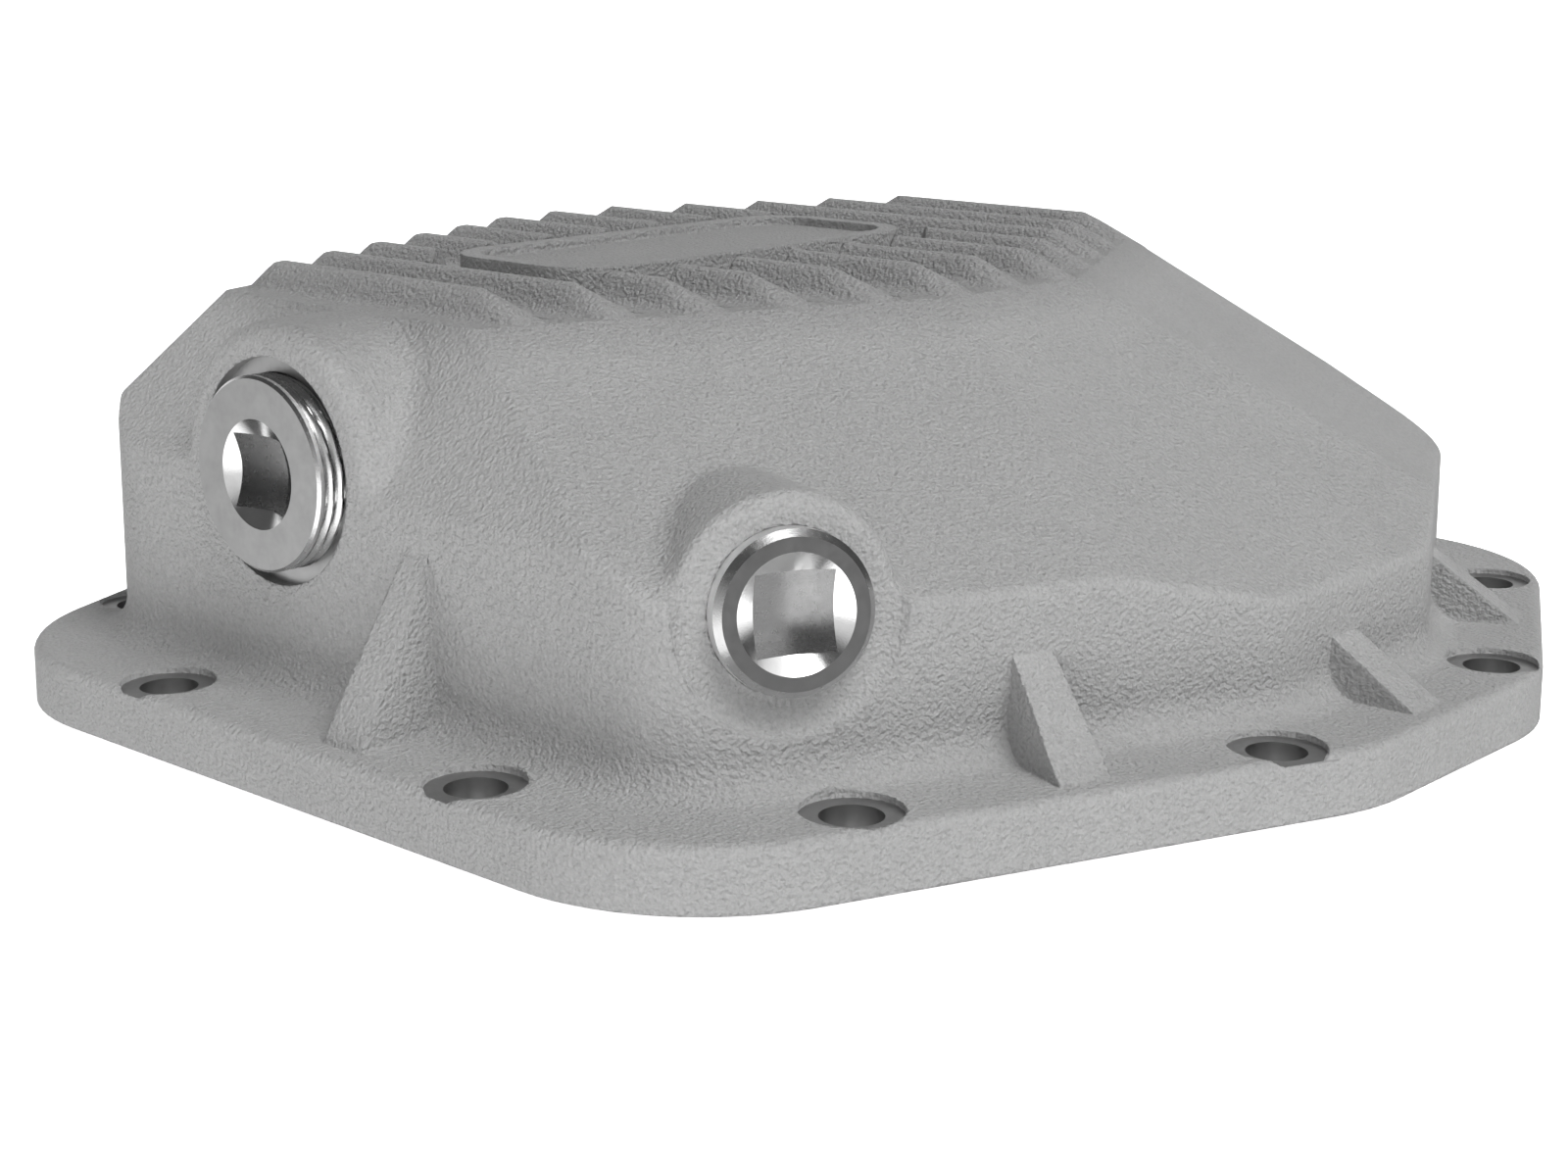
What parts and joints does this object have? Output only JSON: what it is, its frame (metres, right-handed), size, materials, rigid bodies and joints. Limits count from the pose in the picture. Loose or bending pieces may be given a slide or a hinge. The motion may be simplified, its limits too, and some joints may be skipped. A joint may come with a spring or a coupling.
{
  "type": "differential cover",
  "caption": "Finned cast aluminium axle differential cover with a flat gasket flange, bolt holes, ribs and threaded fill and drain plugs with square drives.",
  "frame": {"origin": "centre of the flange on the gasket face, which is the underside as the cover rests", "axes": "+Z out of the dome, +X along the cooling fins towards the low shallow side, -Y towards the fill plug"},
  "size_m": [0.2632, 0.2538, 0.077],
  "materials": {
    "cast_aluminium": "raw casting with a fine pebbled skin, machined at the bolt seats, bores and gasket face",
    "plug_steel": "turned and plated",
    "magnet": "nickel plated"
  },
  "bodies": {
    "root": {"cover_casting": "cast_aluminium", "fill_plug": "plug_steel", "fill_plug_magnet": "magnet", "drain_plug": "plug_steel", "drain_plug_magnet": "magnet"}
  },
  "joints": []
}
